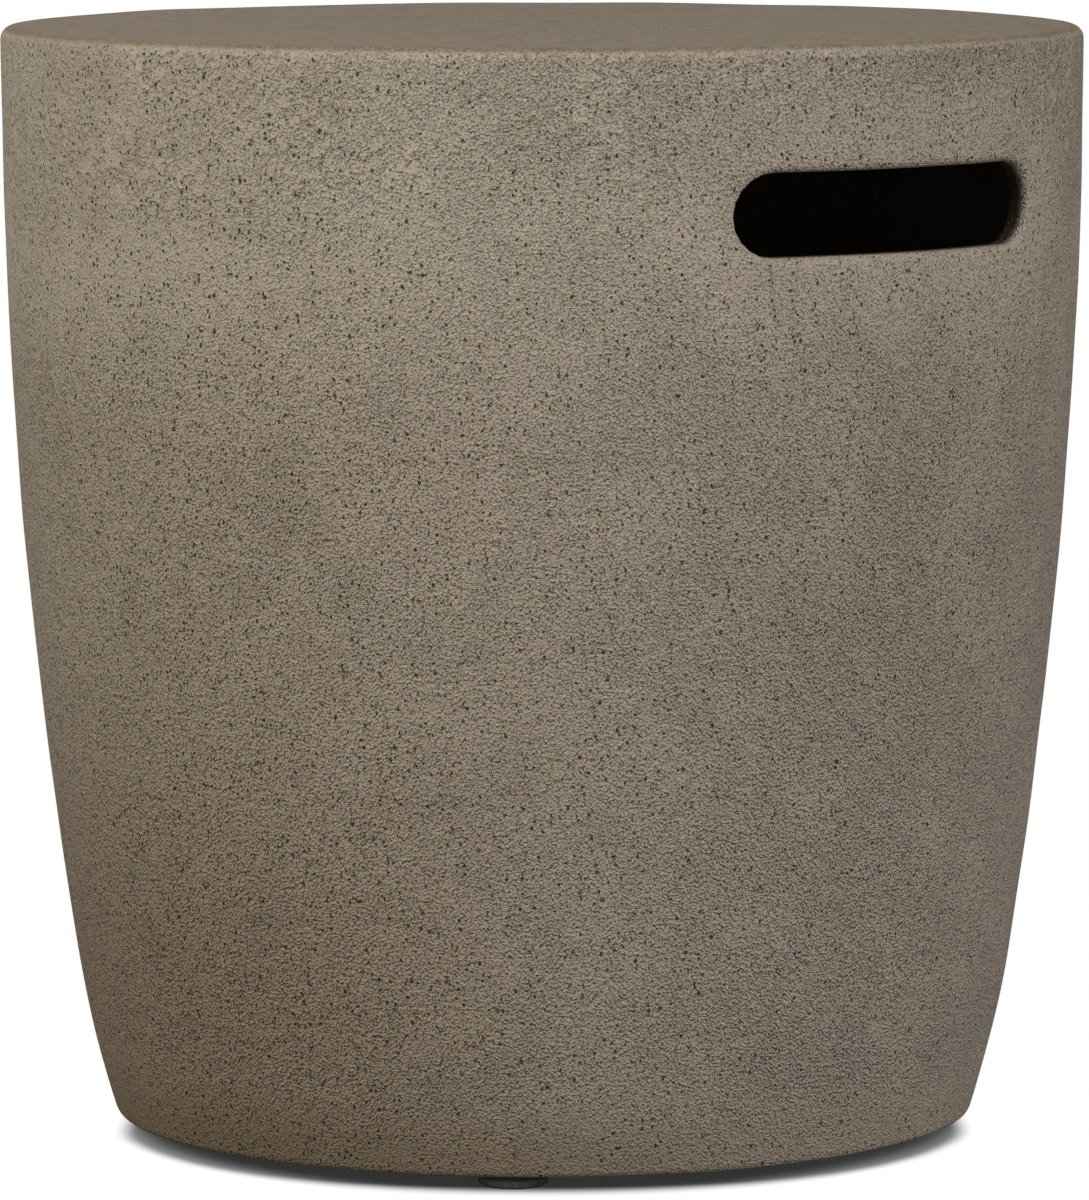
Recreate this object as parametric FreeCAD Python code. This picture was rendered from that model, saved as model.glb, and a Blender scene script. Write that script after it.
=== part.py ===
import FreeCAD, Part
import math
import os

from FreeCAD import Vector

# A round side table of glass-fibre concrete that is lowered over a standing gas cylinder.
# All lengths are millimetres. The four soles stand on z = 0, the middle of the table top is
# on the Z axis, the two hand holes face +X and -X, and the hose notch faces +Y, the rear.

# The cast shell: its outside, from the table edge down to the rim
table_radius = 254.5
shell_height = 513.5
table_edge_round = 6.0
flank_inset = 32.5
flank_height = 82.0
rim_inset = 51.5
rim_round = 2.5

# The cast shell: its inside
wall_thickness = 13.0
slab_thickness = 18.0
ceiling_round = 20.0

# The two hand holes, which also let gas out
hand_hole_length = 178.0
hand_hole_height = 38.0
hand_hole_drop = 75.5
hand_hole_lip = 4.0
hand_hole_inner_lip = 3.0

# The arched notch that lets the gas hose out under the rear rim
notch_width = 60.0
notch_height = 40.0

# The four feet stand inside the rim on one circle, and each has its own corner
foot_inset = 29.0
first_foot_angle = 45.0
foot_corners = ("rear_right", "rear_left", "front_left", "front_right")

# The thickened corner of the shell that holds a foot's insert
boss_recess = 4.0
boss_side_cover = 13.0
boss_face_cover = 5.0
boss_top_cover = 10.0
boss_slope = 35.0
boss_round = 6.0

# The brass insert, M8 inside, that is cast into a boss
insert_radius = 6.0
insert_length = 24.0
insert_end_thickness = 2.0
insert_flange_radius = 9.0
insert_flange_thickness = 1.5
insert_groove_depth = 0.8
insert_groove_width = 2.5
insert_groove_count = 3
insert_mouth_chamfer = 0.5

# The steel stud that screws into the insert: shank, spanner collar, neck and rivet head
stud_radius = 4.0
stud_shank_length = 20.0
stud_tip_chamfer = 1.0
collar_across_flats = 13.0
collar_height = 4.0
neck_radius = 3.5
rivet_radius = 5.5
rivet_thickness = 1.6
running_clearance = 0.05

# The nylon glide that the stud turns in
glide_radius = 16.0
glide_shoulder_radius = 11.0
glide_skirt_height = 3.0
glide_roof = 3.0
rivet_play = 0.3
rivet_side_room = 0.6
rivet_floor_room = 0.6

# The rubber sole that is glued into the glide
sole_radius = 14.0
sole_thickness = 2.5
sole_recess = 1.5
sole_edge_chamfer = 0.4
sole_clearance = 0.1

# Heights that follow from how a foot is stacked, with the foot screwed fully in
glide_bottom = sole_thickness - sole_recess
pocket_height = rivet_floor_room + rivet_thickness + rivet_play
glide_top = sole_thickness + pocket_height + glide_roof
boss_face = glide_top + collar_height
rim_level = boss_face - boss_recess
table_level = rim_level + shell_height

# Radii that follow from the shell and the fits
flank_radius = table_radius - flank_inset
rim_radius = table_radius - rim_inset
foot_circle_radius = rim_radius - foot_inset
insert_bore_radius = stud_radius + running_clearance
far_outside = 2 * table_radius
touching = 0.01


def arc_on(start, start_lean, end):
    """The middle of an arc and the wall's lean at its end, from (radius, height) points.

    The lean is the angle between the wall and the vertical, in radians. It is positive where
    the wall draws in on its way down, and the arc leaves its start at start_lean.
    """
    chord_in = start[0] - end[0]
    chord_down = start[1] - end[1]
    chord_lean = math.atan2(chord_in, chord_down)
    chord = math.hypot(chord_in, chord_down)
    bulge = chord / 2 * math.tan((chord_lean - start_lean) / 2)
    middle = (
        (start[0] + end[0]) / 2 + bulge * math.cos(chord_lean),
        (start[1] + end[1]) / 2 - bulge * math.sin(chord_lean),
    )
    return middle, chord_lean, 2 * chord_lean - start_lean


def wall_stations(overrun):
    """The outside's five stations from the table edge to the rim, as (radius, height, lean).

    The last one runs on past the rim, along the same arc, by the length of overrun.
    """
    edge = (table_radius, table_level - table_edge_round)
    flank = (flank_radius, rim_level + flank_height)
    rim = (rim_radius, rim_level)
    upper, upper_lean, flank_lean = arc_on(edge, 0.0, flank)
    _, lower_lean, rim_lean = arc_on(flank, flank_lean, rim)
    lower_curve = math.dist(flank, rim) / (2 * math.sin(lower_lean - flank_lean))
    end_lean = rim_lean + overrun / lower_curve

    def below_flank(lean):
        radius = flank_radius + lower_curve * (math.cos(lean) - math.cos(flank_lean))
        height = flank[1] - lower_curve * (math.sin(lean) - math.sin(flank_lean))
        return radius, height, lean

    return [
        (*edge, 0.0),
        (*upper, upper_lean),
        below_flank(flank_lean),
        below_flank((flank_lean + end_lean) / 2),
        below_flank(end_lean),
    ]


def inward(station, depth):
    """A station moved square to the wall, into the shell."""
    radius, height, lean = station
    return Vector(radius - depth * math.cos(lean), 0, height + depth * math.sin(lean))


def line(start, end):
    return Part.LineSegment(start, end).toShape()


def arc(start, middle, end):
    return Part.Arc(start, middle, end).toShape()


def revolved(edges):
    """The solid that a closed outline in the XZ plane sweeps round the Z axis."""
    face = Part.Face(Part.Wire(edges))
    return face.revolve(Vector(0, 0, 0), Vector(0, 0, 1), 360)


def turned(*points):
    """The solid that straight-sided (radius, height) points sweep round the Z axis."""
    corners = [Vector(radius, 0, height) for radius, height in points]
    return revolved([Part.makePolygon(corners + corners[:1])])


def lies_on(edge, skin):
    """Whether both ends and the middle of an edge lie on a skin."""
    first, last = edge.ParameterRange
    places = [edge.valueAt(first), edge.valueAt((first + last) / 2), edge.valueAt(last)]
    return all(skin.distToShape(Part.Vertex(place))[0] < touching for place in places)


def edges_on(shape, *skins):
    return [edge for edge in shape.Edges if all(lies_on(edge, skin) for skin in skins)]


def distinct(edges):
    """The edges of a list, each once."""
    return [edge for place, edge in enumerate(edges)
            if not any(edge.isSame(other) for other in edges[:place])]


def skin_of(solid):
    return Part.Shell(solid.Faces)


def level_plane(height):
    """A wide flat face at one height."""
    corner = Vector(-far_outside, -far_outside, height)
    return Part.makePlane(2 * far_outside, 2 * far_outside, corner, Vector(0, 0, 1))


def outside_body():
    """The shell's outside as a full body, with its rounded table edge."""
    edge, upper, flank, lower, rim = [inward(place, 0.0) for place in wall_stations(0.0)]
    round_middle = table_edge_round * math.sqrt(0.5)
    round_centre = edge - Vector(table_edge_round, 0, 0)
    table_corner = round_centre + Vector(0, 0, table_edge_round)
    return revolved(
        [
            line(Vector(0, 0, rim_level), rim),
            arc(rim, lower, flank),
            arc(flank, upper, edge),
            arc(edge, round_centre + Vector(round_middle, 0, round_middle), table_corner),
            line(table_corner, Vector(0, 0, table_level)),
            line(Vector(0, 0, table_level), Vector(0, 0, rim_level)),
        ]
    )


def hollow_body():
    """The room inside the shell, which runs on below the rim, without the bosses."""
    stations = wall_stations(2 * wall_thickness)
    edge, upper, flank, lower, mouth = [inward(place, wall_thickness) for place in stations]
    ceiling = table_level - slab_thickness
    above = table_level + slab_thickness
    room = revolved(
        [
            line(Vector(0, 0, mouth.z), mouth),
            arc(mouth, lower, flank),
            arc(flank, upper, edge),
            line(edge, Vector(edge.x, 0, above)),
            line(Vector(edge.x, 0, above), Vector(0, 0, above)),
            line(Vector(0, 0, above), Vector(0, 0, mouth.z)),
        ]
    )
    kept = Part.makeCylinder(far_outside, ceiling - mouth.z, Vector(0, 0, mouth.z))
    room = room.common(kept)
    return room.makeFillet(ceiling_round, edges_on(room, level_plane(ceiling)))


def boss_block():
    """One boss on the +X side, running out past the wall, with a sloped top."""
    inner_face = foot_circle_radius - insert_flange_radius - boss_face_cover
    width = 2 * (insert_flange_radius + boss_side_cover)
    shoulder = boss_face + insert_length + boss_top_cover
    rise = (far_outside - inner_face) * math.tan(math.radians(boss_slope))
    corners = [
        Vector(inner_face, -width / 2, boss_face),
        Vector(far_outside, -width / 2, boss_face),
        Vector(far_outside, -width / 2, shoulder + rise),
        Vector(inner_face, -width / 2, shoulder),
    ]
    side = Part.Face(Part.makePolygon(corners + corners[:1]))
    block = side.extrude(Vector(0, width, 0))
    rounded = [
        edge
        for edge in block.Edges
        if edge.CenterOfMass.x < far_outside - touching
        and edge.CenterOfMass.z > boss_face + touching
    ]
    return block.makeFillet(boss_round, rounded)


def at_foot(shape, number):
    """A copy of a shape made on the +X side, turned to one foot's corner."""
    angle = first_foot_angle + number * 360 / len(foot_corners)
    return shape.rotated(Vector(0, 0, 0), Vector(0, 0, 1), angle)


def hand_hole_core():
    """The bar with round ends that cuts both hand holes."""
    middle = table_level - hand_hole_drop
    half_height = hand_hole_height / 2
    straight = hand_hole_length / 2 - half_height
    side = -far_outside
    outline = Part.Wire(
        [
            line(Vector(side, -straight, middle - half_height),
                 Vector(side, straight, middle - half_height)),
            arc(Vector(side, straight, middle - half_height),
                Vector(side, straight + half_height, middle),
                Vector(side, straight, middle + half_height)),
            line(Vector(side, straight, middle + half_height),
                 Vector(side, -straight, middle + half_height)),
            arc(Vector(side, -straight, middle + half_height),
                Vector(side, -straight - half_height, middle),
                Vector(side, -straight, middle - half_height)),
        ]
    )
    return Part.Face(outline).extrude(Vector(2 * far_outside, 0, 0))


def notch_core():
    """The round-topped bar that cuts the hose notch through the rear rim."""
    half_width = notch_width / 2
    spring_line = rim_level + notch_height - half_width
    below = rim_level - wall_thickness
    outline = Part.Wire(
        [
            line(Vector(-half_width, 0, below), Vector(half_width, 0, below)),
            line(Vector(half_width, 0, below), Vector(half_width, 0, spring_line)),
            arc(Vector(half_width, 0, spring_line),
                Vector(0, 0, spring_line + half_width),
                Vector(-half_width, 0, spring_line)),
            line(Vector(-half_width, 0, spring_line), Vector(-half_width, 0, below)),
        ]
    )
    return Part.Face(outline).extrude(Vector(0, far_outside, 0))


def cover_shell():
    """The one-piece casting: table top, tapering wall, hand holes, hose notch and bosses."""
    body = outside_body()
    room = hollow_body()
    hole = hand_hole_core()
    notch = notch_core()
    outside, inside, hole_wall = skin_of(body), skin_of(room), skin_of(hole)
    shell = body.cut(room).cut(notch)
    arch = edges_on(shell, skin_of(notch))
    rim = [edge for edge in edges_on(shell, level_plane(rim_level)) if edge not in arch]
    faced = [edge for edge in arch if lies_on(edge, outside) or lies_on(edge, inside)]
    across = edges_on(shell, skin_of(notch), level_plane(rim_level))
    shell = shell.makeFillet(rim_round, distinct(rim + faced + across))
    shell = shell.cut(hole)
    shell = shell.makeFillet(hand_hole_lip, edges_on(shell, outside, hole_wall))
    shell = shell.makeFillet(hand_hole_inner_lip, edges_on(shell, inside, hole_wall))
    for number in range(len(foot_corners)):
        shell = shell.fuse(at_foot(boss_block(), number).common(body))
    for number in range(len(foot_corners)):
        shell = shell.cut(at_foot(insert_outside(), number))
    return shell


def insert_outside():
    """A cast-in insert as a full body, flange down, with the grooves that key it in."""
    outline = [
        (0, boss_face),
        (insert_flange_radius, boss_face),
        (insert_flange_radius, boss_face + insert_flange_thickness),
        (insert_radius, boss_face + insert_flange_thickness),
    ]
    grooved_length = insert_length - insert_flange_thickness
    pitch = grooved_length / insert_groove_count
    floor = insert_radius - insert_groove_depth
    for groove in range(insert_groove_count):
        middle = boss_face + insert_flange_thickness + pitch * (groove + 0.5)
        outline += [
            (insert_radius, middle - insert_groove_width / 2),
            (floor, middle - insert_groove_width / 2),
            (floor, middle + insert_groove_width / 2),
            (insert_radius, middle + insert_groove_width / 2),
        ]
    outline += [
        (insert_radius, boss_face + insert_length),
        (0, boss_face + insert_length),
    ]
    return turned(*outline).translated(Vector(foot_circle_radius, 0, 0))


def foot_insert():
    """The brass insert with its blind threaded hole, open downwards."""
    bore_top = boss_face + insert_length - insert_end_thickness
    bore = turned(
        (0, boss_face - touching),
        (insert_bore_radius + insert_mouth_chamfer + touching, boss_face - touching),
        (insert_bore_radius, boss_face + insert_mouth_chamfer),
        (insert_bore_radius, bore_top),
        (0, bore_top),
    )
    return insert_outside().cut(bore.translated(Vector(foot_circle_radius, 0, 0)))


def foot_stud():
    """The stud: threaded shank, hexagonal collar, smooth neck and riveted end."""
    shank_top = boss_face + stud_shank_length
    rivet_top = glide_top - glide_roof - rivet_play
    shank = turned(
        (0, boss_face),
        (stud_radius, boss_face),
        (stud_radius, shank_top - stud_tip_chamfer),
        (stud_radius - stud_tip_chamfer, shank_top),
        (0, shank_top),
    )
    corner_radius = collar_across_flats / math.sqrt(3)
    flats = [
        Vector(corner_radius * math.cos(turn), corner_radius * math.sin(turn), glide_top)
        for turn in (math.radians(60 * side) for side in range(7))
    ]
    collar = Part.Face(Part.makePolygon(flats)).extrude(Vector(0, 0, collar_height))
    neck = turned(
        (0, rivet_top - rivet_thickness),
        (rivet_radius, rivet_top - rivet_thickness),
        (rivet_radius, rivet_top),
        (neck_radius, rivet_top),
        (neck_radius, glide_top),
        (0, glide_top),
    )
    stud = collar.fuse([shank, neck]).removeSplitter()
    return stud.translated(Vector(foot_circle_radius, 0, 0))


def foot_glide():
    """The nylon glide: a low dome with a hole for the neck and a pocket for the rivet."""
    bore = neck_radius + running_clearance
    pocket = rivet_radius + rivet_side_room
    recess = sole_radius + sole_clearance
    glide = turned(
        (bore, glide_top),
        (glide_shoulder_radius, glide_top),
        (glide_radius, glide_bottom + glide_skirt_height),
        (glide_radius, glide_bottom),
        (recess, glide_bottom),
        (recess, sole_thickness),
        (pocket, sole_thickness),
        (pocket, glide_top - glide_roof),
        (bore, glide_top - glide_roof),
    )
    return glide.translated(Vector(foot_circle_radius, 0, 0))


def foot_sole():
    """The rubber disc that stands on the floor."""
    sole = turned(
        (0, 0),
        (sole_radius - sole_edge_chamfer, 0),
        (sole_radius, sole_edge_chamfer),
        (sole_radius, sole_thickness),
        (0, sole_thickness),
    )
    return sole.translated(Vector(foot_circle_radius, 0, 0))


def main():
    os.makedirs("parts", exist_ok=True)
    pieces = {"cover_shell": cover_shell()}
    for number, corner in enumerate(foot_corners):
        pieces["insert_" + corner] = at_foot(foot_insert(), number)
        pieces["stud_" + corner] = at_foot(foot_stud(), number)
        pieces["glide_" + corner] = at_foot(foot_glide(), number)
        pieces["sole_" + corner] = at_foot(foot_sole(), number)
    for name, shape in pieces.items():
        shape.exportStep(os.path.join("parts", name + ".step"))
        box = shape.BoundBox
        print(name, "solids", len(shape.Solids), "valid", shape.isValid(),
              "litres %.4f" % (shape.Volume / 1e6),
              "z %.2f to %.2f" % (box.ZMin, box.ZMax),
              "width %.2f" % box.XLength)


main()
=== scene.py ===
"""A gas-cylinder cover table: the pitted concrete casting, its four screw feet and a plain studio."""

import math
import random

import bmesh
import bpy
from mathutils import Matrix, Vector, noise


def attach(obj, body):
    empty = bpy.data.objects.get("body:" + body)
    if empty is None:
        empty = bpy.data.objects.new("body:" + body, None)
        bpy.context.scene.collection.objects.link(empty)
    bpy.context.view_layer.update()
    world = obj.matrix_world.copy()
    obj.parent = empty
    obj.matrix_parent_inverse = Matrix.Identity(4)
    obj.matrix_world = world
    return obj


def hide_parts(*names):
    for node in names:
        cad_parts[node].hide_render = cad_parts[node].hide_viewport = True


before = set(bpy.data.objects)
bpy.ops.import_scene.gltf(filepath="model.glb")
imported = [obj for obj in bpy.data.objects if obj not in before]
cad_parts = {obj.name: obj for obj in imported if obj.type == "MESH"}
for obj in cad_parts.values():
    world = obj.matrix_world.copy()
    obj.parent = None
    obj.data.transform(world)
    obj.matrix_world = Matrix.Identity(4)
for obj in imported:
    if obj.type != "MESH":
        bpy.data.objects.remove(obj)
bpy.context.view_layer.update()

# The casting's sizes, in metres, as in the solids
table_radius = 0.2545
table_level = 0.5215
edge_round = 0.006
flank_radius = 0.222
flank_level = 0.090
rim_radius = 0.203
rim_level = 0.008
rim_round = 0.0025
wall = 0.013
slab = 0.018
ceiling_round = 0.020
hole_level = 0.446
hole_end_radius = 0.019
hole_straight = 0.070
hole_lip = 0.004
hole_inner_lip = 0.003
notch_radius = 0.030
notch_spring = 0.018
boss_level = 0.012
boss_reach = 0.160
boss_half_width = 0.022
boss_shoulder = 0.046
boss_slope = math.radians(35)

# The screw feet's sizes, in metres
foot_circle = 0.174
flange_radius = 0.0090
flange_height = 0.0015
sleeve_radius = 0.0060
insert_length = 0.0240
pocket_clearance = 0.00005
thread_radius = 0.0040
thread_pitch = 0.00125
corners = ("rear_right", "rear_left", "front_left", "front_right")

# How the casting's mesh is divided and rounded
columns = 180
column_angle = 2 * math.pi / columns
disc_radius = 0.205
hole_columns = 11
hole_end_step = math.radians(18)
hole_rows = [hole_level + step * hole_end_radius / 2 for step in (2, 1, 0, -1, -2)]
notch_columns = 4
notch_step = math.radians(11.25)
notch_rows = [0.048, 0.041, 0.034, 0.026, 0.018]
boss_top = 0.078
boss_rows = [0.055, 0.063, 0.070, boss_top]
boss_half_turn = 3.5 * column_angle
boss_corner_round = 0.005

# Directions over the floor, as the photograph sees the table
toward_camera = Vector((0.7615, -0.648, 0.0))
to_the_right = Vector((0.648, 0.7615, 0.0))


# Mesh work, as by hand

def close_piece():
    """Leaves edit mode, with nothing selected."""
    if bpy.context.mode != "OBJECT":
        bpy.ops.object.mode_set(mode="OBJECT")
    bpy.ops.object.select_all(action="DESELECT")


def open_piece(piece):
    """Opens one piece for editing, alone."""
    close_piece()
    piece.select_set(True)
    bpy.context.view_layer.objects.active = piece
    bpy.ops.object.mode_set(mode="EDIT")


def named(name):
    """Gives the primitive that was just added its name, with its place in its mesh."""
    piece = bpy.context.object
    piece.name = name
    piece.data.name = name
    bpy.ops.object.transform_apply(location=True, rotation=True, scale=True)
    return piece


def pick(piece, kind, chosen):
    """Selects the corners, edges or faces of the open piece that pass the test; returns how many."""
    bpy.context.tool_settings.mesh_select_mode = (kind == "verts", kind == "edges", kind == "faces")
    mesh = bmesh.from_edit_mesh(piece.data)
    for group in (mesh.verts, mesh.edges, mesh.faces):
        for item in group:
            item.select = False
    found = [item for item in getattr(mesh, kind) if chosen(item)]
    for item in found:
        item.select_set(True)
    mesh.select_flush_mode()
    bmesh.update_edit_mesh(piece.data)
    return len(found)


def place(piece, put):
    """Moves each corner of the open piece that put() gives a new place for."""
    mesh = bmesh.from_edit_mesh(piece.data)
    for corner in mesh.verts:
        new_place = put(corner)
        if new_place is not None:
            corner.co = new_place
    bmesh.update_edit_mesh(piece.data)


def apply_modifier(piece, kind, **settings):
    """Adds one modifier to a closed piece and applies it."""
    close_piece()
    piece.select_set(True)
    bpy.context.view_layer.objects.active = piece
    modifier = piece.modifiers.new(kind.title(), kind)
    for setting, value in settings.items():
        setattr(modifier, setting, value)
    bpy.ops.object.modifier_apply(modifier=modifier.name)


def smooth(piece, sharpest):
    """Shades a piece smooth, but for edges sharper than this, in degrees."""
    close_piece()
    piece.select_set(True)
    bpy.context.view_layer.objects.active = piece
    bpy.ops.object.shade_smooth_by_angle(angle=math.radians(sharpest))
    piece.select_set(False)


def spread(start, end, gaps):
    """Evenly spaced values from start to end, both included."""
    return [start + (end - start) * step / gaps for step in range(gaps + 1)]


def pull_rings(piece, rings):
    """Extrudes the open piece's selected ring through these (radius, height) rings."""
    last_radius, last_height = rings[0]
    for radius, height in rings[1:]:
        bpy.ops.mesh.extrude_region_move(
            TRANSFORM_OT_translate={"value": (0, 0, height - last_height)})
        bpy.ops.transform.resize(value=(radius / last_radius, radius / last_radius, 1),
                                 center_override=(0, 0, height))
        last_radius, last_height = radius, height


def turned_piece(name, rings, segments):
    """A lathe-turned piece from (radius, height) rings; open ends are closed with a flat face."""
    close_piece()
    radius, height = rings[0]
    bpy.ops.mesh.primitive_circle_add(vertices=segments, radius=radius, location=(0, 0, height))
    piece = named(name)
    open_piece(piece)
    pick(piece, "edges", lambda edge: True)
    pull_rings(piece, rings)
    pick(piece, "verts", lambda corner: True)
    bpy.ops.mesh.remove_doubles(threshold=0.00002)
    for end_radius, end_height in (rings[0], rings[-1]):
        if pick(piece, "edges", lambda edge: edge.is_boundary and all(
                abs(corner.co.z - end_height) < 1e-6
                and abs(corner.co.xy.length - end_radius) < 1e-6 for corner in edge.verts)):
            bpy.ops.mesh.edge_face_add()
    pick(piece, "verts", lambda corner: True)
    bpy.ops.mesh.normals_make_consistent(inside=False)
    close_piece()
    return piece


# The casting's outline

def stretch(start, lean, end):
    """An arc of the wall going down from start at this lean to end: start, lean, curve radius, end lean."""
    chord = math.atan2(start[0] - end[0], start[1] - end[1])
    end_lean = 2 * chord - lean
    curve = math.dist(start, end) / (2 * math.sin((end_lean - lean) / 2))
    return start, lean, curve, end_lean


upper_wall = stretch((table_radius, table_level - edge_round), 0.0, (flank_radius, flank_level))
lower_wall = stretch((flank_radius, flank_level), upper_wall[3], (rim_radius, rim_level))


def wall_radius(height, depth=0.0):
    """The casting's radius at a height, this deep below its outside."""
    is_upper = height > flank_level + depth * math.sin(upper_wall[3])
    (radius, top), lean, curve, _ = upper_wall if is_upper else lower_wall
    radius, top, curve = radius - depth * math.cos(lean), top + depth * math.sin(lean), curve - depth
    if height > top:
        return radius
    here = math.asin(math.sin(lean) + (top - height) / curve)
    return radius + curve * (math.cos(here) - math.cos(lean))


def casting_rings():
    """Every ring of the casting, from the disc of the top over the edge and rim to the ceiling's disc."""
    edge_middle = (table_radius - edge_round, table_level - edge_round)
    rings = [(radius, table_level) for radius in spread(disc_radius, edge_middle[0], 5)]
    for step in range(1, 7):
        turn = math.radians(15 * step)
        rings.append((edge_middle[0] + edge_round * math.sin(turn),
                      edge_middle[1] + edge_round * math.cos(turn)))
    heights = spread(edge_middle[1], hole_rows[0], 6)[1:] + hole_rows[1:]
    heights += spread(hole_rows[-1], notch_rows[0], 45)[1:] + notch_rows[1:] + [boss_level]
    rings += [(wall_radius(height), height) for height in heights]
    outer_foot = wall_radius(rim_level + rim_round)
    inner_foot = wall_radius(rim_level + rim_round, wall)
    rings += [
        (outer_foot, rim_level + rim_round),
        (outer_foot - 0.3 * rim_round, rim_level + 0.4 * rim_round),
        (outer_foot - 0.7 * rim_round, rim_level + 0.1 * rim_round),
        (outer_foot - 1.3 * rim_round, rim_level),
        (inner_foot + 0.9 * rim_round, rim_level),
        (inner_foot + 0.4 * rim_round, rim_level + 0.15 * rim_round),
        (inner_foot, rim_level + rim_round),
    ]
    heights = [boss_level] + notch_rows[::-1] + boss_rows
    heights += spread(heights[-1], hole_rows[-1], 22)[1:] + hole_rows[-2::-1]
    round_start = table_level - slab - ceiling_round
    heights += spread(hole_rows[0], round_start, 2)[1:]
    rings += [(wall_radius(height, wall), height) for height in heights]
    middle = rings[-1][0] - ceiling_round
    for step in range(1, 6):
        turn = math.radians(18 * step)
        rings.append((middle + ceiling_round * math.cos(turn),
                      round_start + ceiling_round * math.sin(turn)))
    rings.append((disc_radius, table_level - slab))
    return rings


def column_of(corner, facing):
    """How many columns a corner stands to the left of a direction, such as 0 for +X, in degrees."""
    turn = math.atan2(corner.co.y, corner.co.x) - math.radians(facing)
    return (turn + math.pi) % (2 * math.pi) / column_angle - math.pi / column_angle


def is_outside(corner):
    """Whether a corner of the wall is nearer to the outside than to the inside."""
    return corner.co.xy.length > wall_radius(corner.co.z, wall / 2)


# The hand holes

def hole_place(corner, facing):
    """Where a corner of the block that is cut from the wall goes, so that the hole is a long slot."""
    column = round(column_of(corner, facing))
    side = math.copysign(1, column)
    straight_columns = hole_columns - 3
    row = min(range(5), key=lambda number: abs(hole_rows[number] - corner.co.z))
    if abs(column) <= straight_columns and row in (0, 4):
        across = hole_straight * math.sin(column * column_angle) / math.sin(
            straight_columns * column_angle)
        height = hole_rows[row]
    else:
        if row == 0:
            steps = abs(column) - straight_columns
        elif row == 4:
            steps = 10 - (abs(column) - straight_columns)
        else:
            steps = 3 + row
        turn = hole_end_step * steps
        across = side * (hole_straight + hole_end_radius * math.sin(turn))
        height = hole_level + hole_end_radius * math.cos(turn)
    depth = 0.0 if is_outside(corner) else wall
    outward = math.sqrt(wall_radius(height, depth) ** 2 - across ** 2)
    heading = math.radians(facing)
    return Vector((outward * math.cos(heading) - across * math.sin(heading),
                   outward * math.sin(heading) + across * math.cos(heading), height))


def hole_gap(corner, facing):
    """How far a corner is from the slot's outline, seen straight on."""
    turn = math.radians(facing)
    across = -corner.co.x * math.sin(turn) + corner.co.y * math.cos(turn)
    outward = corner.co.x * math.cos(turn) + corner.co.y * math.sin(turn)
    beyond = max(abs(across) - hole_straight, 0)
    if outward < 0:
        return 1.0
    return abs(math.hypot(beyond, corner.co.z - hole_level) - hole_end_radius)


def cut_hand_hole(piece, facing):
    """Cuts one slot through the wall and rounds its lips."""
    def in_block(face):
        middle = face.calc_center_median()
        turn = math.atan2(middle.y, middle.x) - math.radians(facing)
        turn = (turn + math.pi) % (2 * math.pi) - math.pi
        return (abs(turn) < hole_columns * column_angle and middle.xy.length > 0.2
                and hole_rows[-1] < middle.z < hole_rows[0])

    pick(piece, "faces", in_block)
    bpy.ops.mesh.delete(type="FACE")
    mesh = bmesh.from_edit_mesh(piece.data)
    bare = {corner.index for edge in mesh.edges if edge.is_boundary for corner in edge.verts}
    place(piece, lambda corner: hole_place(corner, facing) if corner.index in bare else None)
    pick(piece, "edges", lambda edge: edge.is_boundary)
    bpy.ops.mesh.bridge_edge_loops()
    for depth, lip in ((0.0, hole_lip), (wall, hole_inner_lip)):
        pick(piece, "edges", lambda edge: all(
            hole_gap(corner, facing) < 1e-5
            and abs(corner.co.xy.length - wall_radius(corner.co.z, depth)) < 1e-5
            for corner in edge.verts))
        bpy.ops.mesh.bevel(offset=lip, segments=4, affect="EDGES", clamp_overlap=True)


# The hose notch

def notch_place(corner):
    """Where a corner beside the cut in the rear rim goes, so that the notch is an arch."""
    column = round(column_of(corner, 90))
    side = -math.copysign(1, column)
    height = corner.co.z
    if height < notch_spring + 0.001:
        across = side * notch_radius
    else:
        row = min(range(5), key=lambda number: abs(notch_rows[number] - height))
        steps = 4 - row if row else 8 - abs(column)
        turn = notch_step * steps
        across = side * notch_radius * math.cos(turn)
        height = notch_spring + notch_radius * math.sin(turn)
    if height < rim_level + rim_round + 0.0001:
        radius = corner.co.xy.length
    else:
        radius = wall_radius(height, 0.0 if is_outside(corner) else wall)
    return Vector((across, math.sqrt(radius ** 2 - across ** 2), height))


def cut_notch(piece):
    """Cuts the arched hose notch in the rear rim."""
    def in_block(face):
        middle = face.calc_center_median()
        turn = abs(math.atan2(middle.x, middle.y))
        return turn < notch_columns * column_angle and middle.z < notch_rows[0]

    def beside(height, edge):
        return edge.is_boundary and min(corner.co.z for corner in edge.verts) > height

    pick(piece, "faces", in_block)
    bpy.ops.mesh.delete(type="FACE")
    mesh = bmesh.from_edit_mesh(piece.data)
    bare = {corner.index for edge in mesh.edges if edge.is_boundary for corner in edge.verts}
    place(piece, lambda corner: notch_place(corner) if corner.index in bare else None)
    pick(piece, "edges", lambda edge: beside(boss_level - 0.0001, edge))
    bpy.ops.mesh.bridge_edge_loops()
    for side in (1, -1):
        pick(piece, "edges", lambda edge: edge.is_boundary and edge.verts[0].co.x * side > 0)
        bpy.ops.mesh.edge_face_add()


# The bosses that carry the feet

def boss_axes(number):
    """The outward and sideways directions of one foot's boss."""
    turn = math.radians(45 + 90 * number)
    return Vector((math.cos(turn), math.sin(turn))), Vector((-math.sin(turn), math.cos(turn)))


def boss_depth(height):
    """How far from the axis the boss's inner face is at a height, sloping out above its shoulder."""
    slope = boss_reach + (height - boss_shoulder) / math.tan(boss_slope)
    blend = 0.004
    return 0.5 * (boss_reach + slope + math.sqrt((slope - boss_reach) ** 2 + blend ** 2)) - blend / 4


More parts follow.
